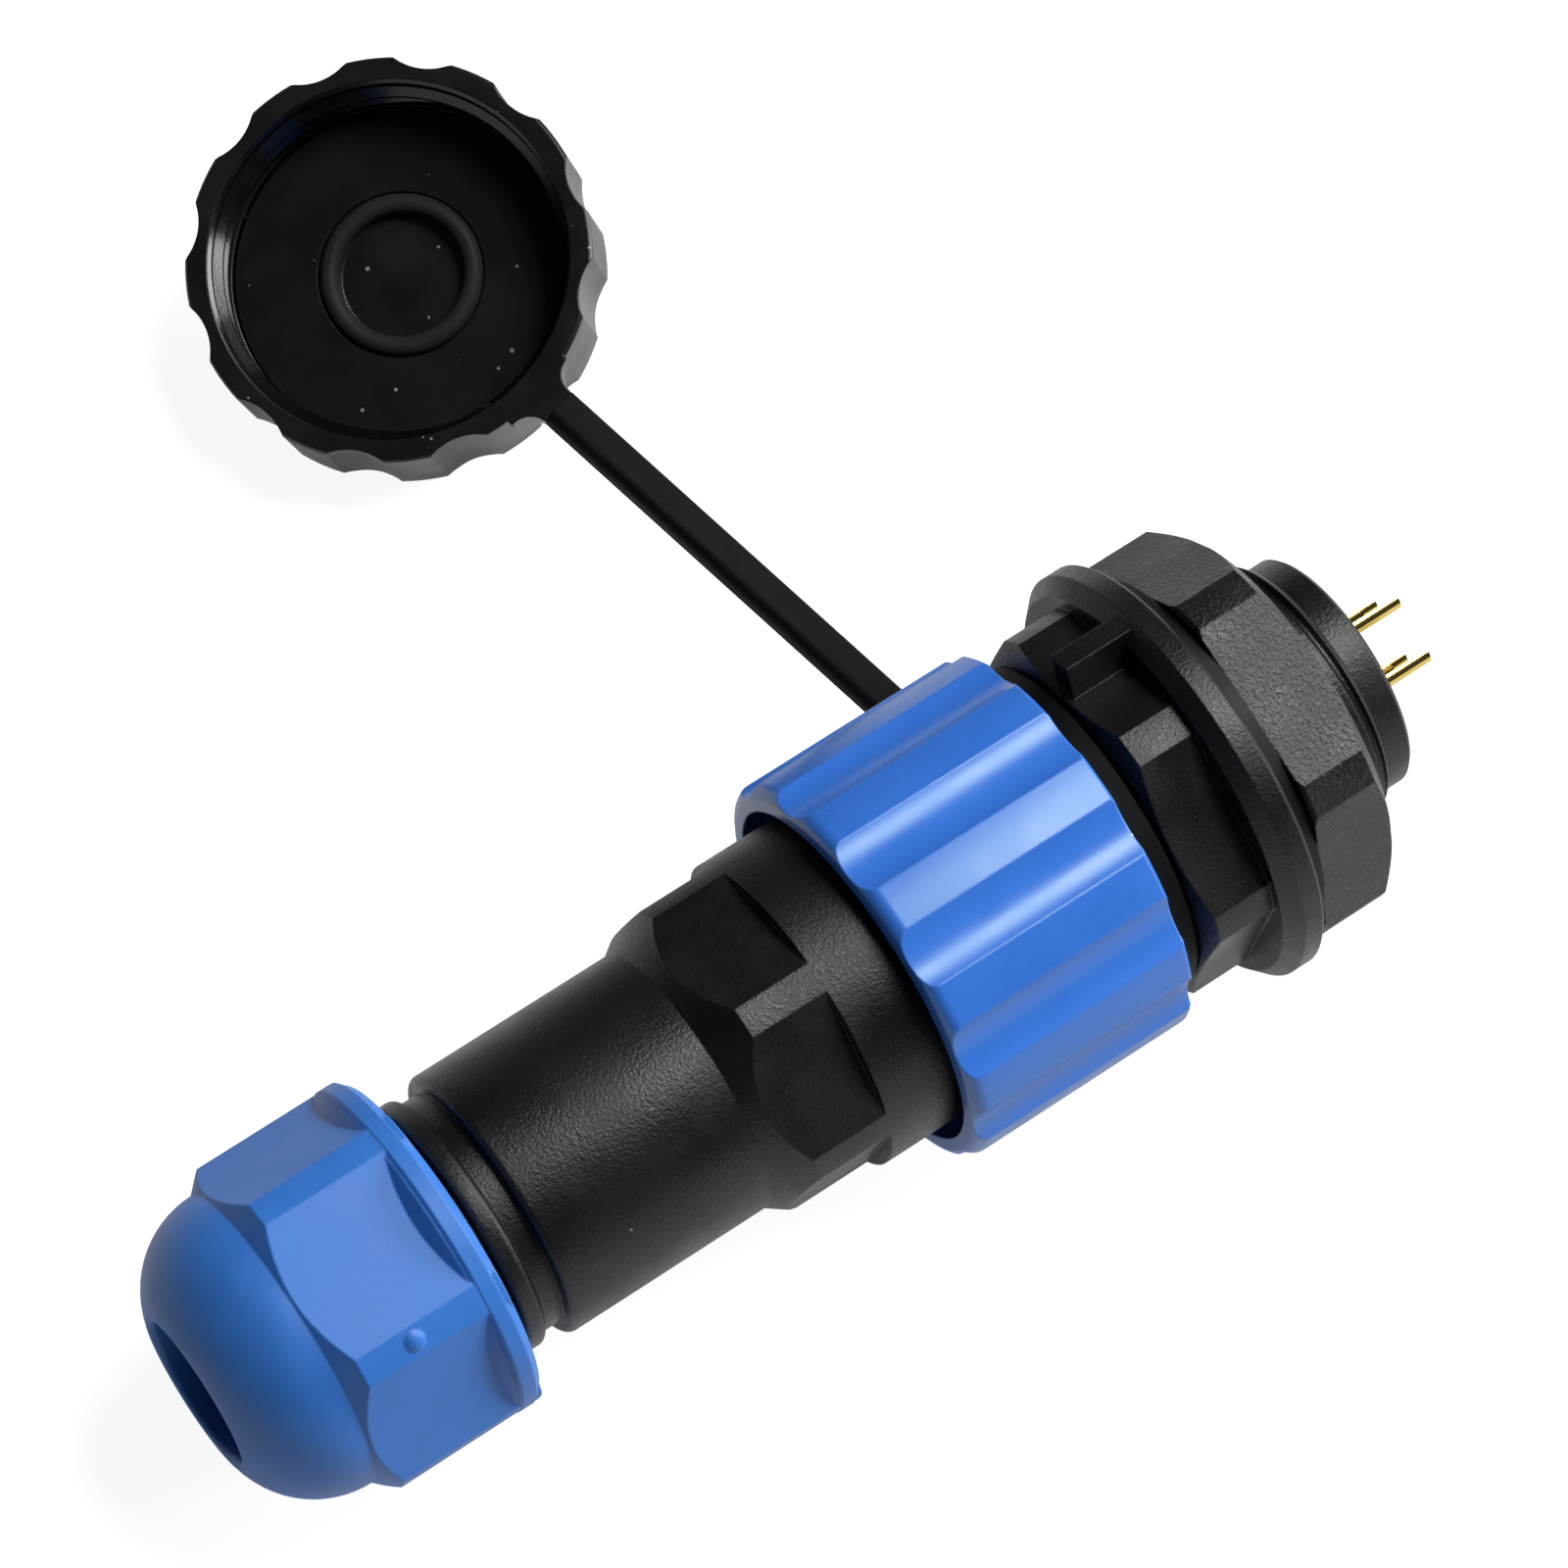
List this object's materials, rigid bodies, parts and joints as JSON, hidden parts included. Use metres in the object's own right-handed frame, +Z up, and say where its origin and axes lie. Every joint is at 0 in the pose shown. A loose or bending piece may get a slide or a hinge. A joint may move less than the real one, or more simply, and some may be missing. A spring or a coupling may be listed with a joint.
{
  "type": "sealed circular cable connector set",
  "caption": "Sealed circular connector: panel socket with rear nut and solder pins, screw-on cable plug with fluted ring and cable gland, and a tethered dust cap.",
  "frame": {"origin": "on the connector axis, at the rear face of the panel gasket, where the front of the panel seats", "axes": "+X along the connector axis toward the solder pins, +Y to the side of the dust cap, +Z up"},
  "size_m": [0.1013, 0.1006, 0.0326],
  "materials": {
    "black_nylon": "moulded glass-filled nylon, fine grain with a soft sheen",
    "blue_nylon": "moulded blue nylon, satin",
    "insulator": "moulded black thermoplastic",
    "seal_rubber": "matt black rubber",
    "cap_rubber": "flexible black elastomer, satin",
    "contact_plating": "gold-plated brass, polished"
  },
  "bodies": {
    "socket": {"socket_shell": "black_nylon", "socket_insert": "insulator", "insert_seal": "seal_rubber", "insert_retainer": "black_nylon", "socket_pin_1": "contact_plating", "socket_pin_2": "contact_plating", "socket_pin_3": "contact_plating", "socket_pin_4": "contact_plating", "panel_gasket": "seal_rubber"},
    "panel_nut": {"panel_nut": "black_nylon"},
    "plug": {"plug_shell": "black_nylon", "plug_insert": "insulator", "hub_o_ring": "seal_rubber", "interface_seal": "seal_rubber", "plug_contact_1": "contact_plating", "plug_contact_2": "contact_plating", "plug_contact_3": "contact_plating", "plug_contact_4": "contact_plating"},
    "coupling_ring": {"coupling_ring": "blue_nylon"},
    "gland_clamp": {"gland_claw": "insulator", "gland_seal": "seal_rubber"},
    "gland_nut": {"gland_nut": "blue_nylon"},
    "tether_loop": {"cap_loop": "cap_rubber"},
    "dust_cap": {"cap_strap": "cap_rubber", "dust_cap": "cap_rubber", "cap_gasket": "seal_rubber"}
  },
  "joints": [
    {"name": "ring_turn", "type": "hinge", "parent": "plug", "child": "coupling_ring", "pos_m": [-0.021, 0, 0], "axis": [-1, 0, 0], "range_deg": [0, 1512]},
    {"name": "plug_withdraw", "type": "slide", "parent": "socket", "child": "plug", "axis": [-1, 0, 0], "range_m": [0, 0.0084]},
    {"name": "panel_nut_turn", "type": "hinge", "parent": "socket", "child": "panel_nut", "pos_m": [0.003, 0, 0], "axis": [1, 0, 0], "continuous": true},
    {"name": "gland_nut_turn", "type": "hinge", "parent": "gland_clamp", "child": "gland_nut", "pos_m": [-0.074, 0, 0], "axis": [1, 0, 0], "range_deg": [-810, 360]},
    {"name": "gland_clamp_slide", "type": "slide", "parent": "plug", "child": "gland_clamp", "axis": [1, 0, 0], "range_m": [-0.0045, 0.002]},
    {"name": "loop_swivel", "type": "hinge", "parent": "socket", "child": "tether_loop", "pos_m": [-0.01075, 0, 0], "axis": [1, 0, 0], "continuous": true},
    {"name": "strap_flex", "type": "hinge", "parent": "tether_loop", "child": "dust_cap", "pos_m": [-0.01075, 0.01212, -0.01171], "axis": [0, -0.1219, 0.9925], "range_deg": [-25, 25], "stiffness_Nm_per_rad": 0.02}
  ],
  "couplings": [
    {"joint": "plug_withdraw", "follows": "ring_turn", "m_per_rad": 0.00031831},
    {"joint": "gland_clamp_slide", "follows": "gland_nut_turn", "m_per_rad": 0.00031831}
  ]
}
